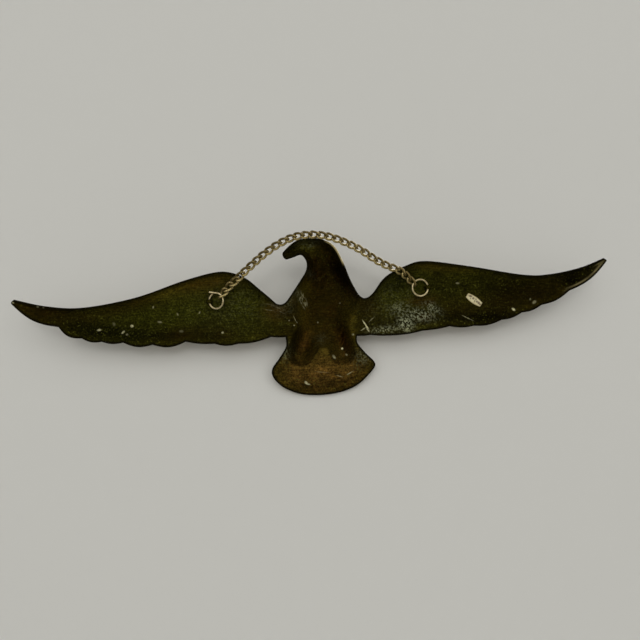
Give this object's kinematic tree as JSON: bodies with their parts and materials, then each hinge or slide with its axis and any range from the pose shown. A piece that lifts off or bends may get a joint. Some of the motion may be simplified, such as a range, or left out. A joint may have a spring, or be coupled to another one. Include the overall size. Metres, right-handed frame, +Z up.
{
  "type": "wall eagle",
  "caption": "Hollow-backed cast brass eagle with spread wings, a wall plaque that hangs from a small curb chain joined by open rings to lugs on its back.",
  "frame": {"origin": "under the top of the hanging chain, where the nail or hook in the wall bears", "axes": "+Z up, +X across the wings towards the beak, +Y towards the wall, so the carved face looks along -Y"},
  "size_m": [0.5118, 0.0303, 0.1395],
  "materials": {
    "brass_patina": "dark olive-brown patina, half matte",
    "pale_brass": "pale brass-plated wire, dull shine",
    "label_paper": "cream and gold coated paper"
  },
  "bodies": {
    "root": {"eagle_casting": "brass_patina", "right_ring": "pale_brass", "left_ring": "pale_brass", "chain_link_01": "pale_brass", "chain_link_02": "pale_brass", "chain_link_03": "pale_brass", "chain_link_04": "pale_brass", "chain_link_05": "pale_brass", "chain_link_06": "pale_brass", "chain_link_07": "pale_brass", "chain_link_08": "pale_brass", "chain_link_09": "pale_brass", "chain_link_10": "pale_brass", "chain_link_11": "pale_brass", "chain_link_12": "pale_brass", "chain_link_13": "pale_brass", "chain_link_14": "pale_brass", "chain_link_15": "pale_brass", "chain_link_16": "pale_brass", "chain_link_17": "pale_brass", "chain_link_18": "pale_brass", "chain_link_19": "pale_brass", "chain_link_20": "pale_brass", "chain_link_21": "pale_brass", "chain_link_22": "pale_brass", "chain_link_23": "pale_brass", "chain_link_24": "pale_brass", "chain_link_25": "pale_brass", "chain_link_26": "pale_brass", "chain_link_27": "pale_brass", "chain_link_28": "pale_brass", "chain_link_29": "pale_brass", "label": "label_paper"}
  },
  "joints": []
}
